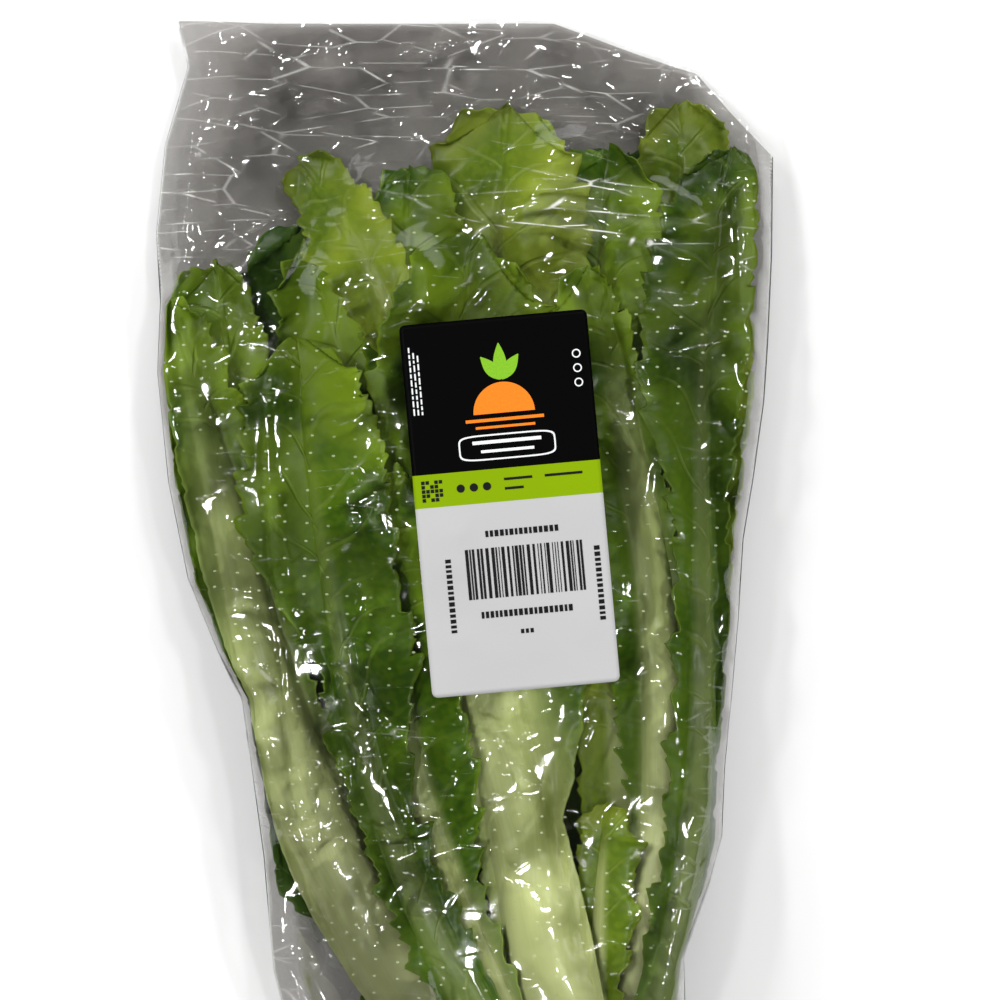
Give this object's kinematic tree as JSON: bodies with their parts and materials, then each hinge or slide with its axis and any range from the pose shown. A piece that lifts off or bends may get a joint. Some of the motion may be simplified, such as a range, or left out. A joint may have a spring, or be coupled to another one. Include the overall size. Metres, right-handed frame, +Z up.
{
  "type": "bagged escarole",
  "caption": "Head of escarole lying on its back leaves in a clear film sack, open at the leaf tips, with a rectangular sticker on the front.",
  "frame": {"origin": "the flat underside of the bag, under the middle of the head, where the object rests", "axes": "+Z up from the surface it lies on, +Y from the cut crown to the leaf tips, +X to the right as seen from above"},
  "size_m": [0.2017, 0.3763, 0.0545],
  "materials": {
    "leaf_green": "satin leaf",
    "inner_leaf_green": "satin leaf",
    "pale_crown": "matte cut stem",
    "clear_film": "clear glossy film",
    "label_paper": "coated paper"
  },
  "bodies": {
    "root": {"back_leaf_1": "leaf_green", "back_leaf_2": "leaf_green", "back_leaf_3": "leaf_green", "back_leaf_4": "leaf_green", "back_leaf_5": "leaf_green", "back_leaf_6": "leaf_green", "side_leaf_left": "leaf_green", "side_leaf_right": "leaf_green", "front_leaf_left": "leaf_green", "front_leaf_right": "leaf_green", "front_leaf_middle": "leaf_green", "front_leaf_second": "leaf_green", "front_leaf_inner": "leaf_green", "inner_leaf_1": "inner_leaf_green", "inner_leaf_2": "inner_leaf_green", "inner_leaf_3": "inner_leaf_green", "inner_leaf_4": "inner_leaf_green", "inner_leaf_5": "inner_leaf_green", "inner_leaf_6": "inner_leaf_green", "heart_leaf_1": "inner_leaf_green", "heart_leaf_2": "inner_leaf_green", "small_leaf": "inner_leaf_green", "crown": "pale_crown", "bag": "clear_film", "label": "label_paper"}
  },
  "joints": []
}
